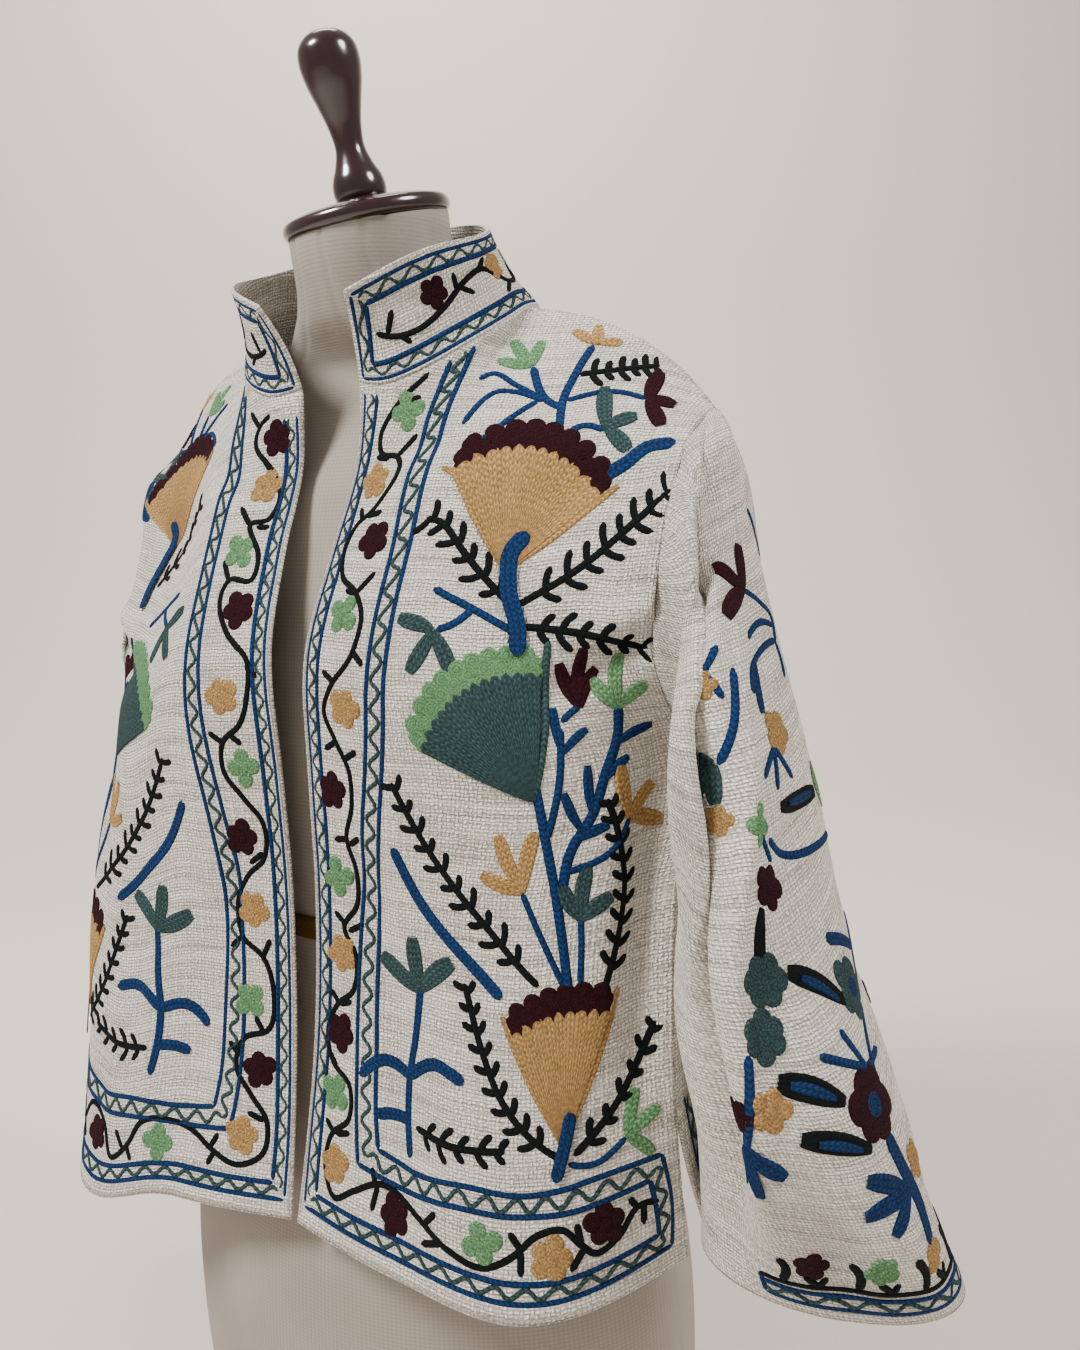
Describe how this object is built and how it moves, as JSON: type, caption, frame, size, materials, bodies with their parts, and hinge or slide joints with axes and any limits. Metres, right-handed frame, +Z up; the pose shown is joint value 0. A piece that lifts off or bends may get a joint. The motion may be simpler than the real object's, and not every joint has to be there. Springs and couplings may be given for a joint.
{
  "type": "hmong embroidered jacket on a limbless dress form",
  "caption": "Short open-front jacket of embroidered cotton with a stand-up collar and wide hanging sleeves, on a limbless dress form with a turned wooden finial.",
  "frame": {"origin": "middle of the form's flat underside, where it stands", "axes": "+Z up, the wearer faces -Y, the wearer's left side is +X"},
  "size_m": [0.7638, 0.3428, 0.98],
  "materials": {
    "cloth_front_left": "matte woven cotton",
    "cloth_front_right": "matte woven cotton",
    "cloth_back": "matte woven cotton",
    "cloth_sleeve_left": "matte woven cotton",
    "cloth_sleeve_right": "matte woven cotton",
    "cloth_collar": "matte woven cotton",
    "form_fabric": "matte knitted cover",
    "waist_tape": "satin woven tape",
    "cap_wood": "gloss varnish",
    "finial_wood": "gloss varnish"
  },
  "bodies": {
    "root": {"front_left": "cloth_front_left", "front_right": "cloth_front_right", "back": "cloth_back", "sleeve_left": "cloth_sleeve_left", "sleeve_right": "cloth_sleeve_right", "collar": "cloth_collar", "form_torso": "form_fabric", "form_waist_band": "waist_tape", "form_neck_cap": "cap_wood", "form_finial": "finial_wood"}
  },
  "joints": []
}
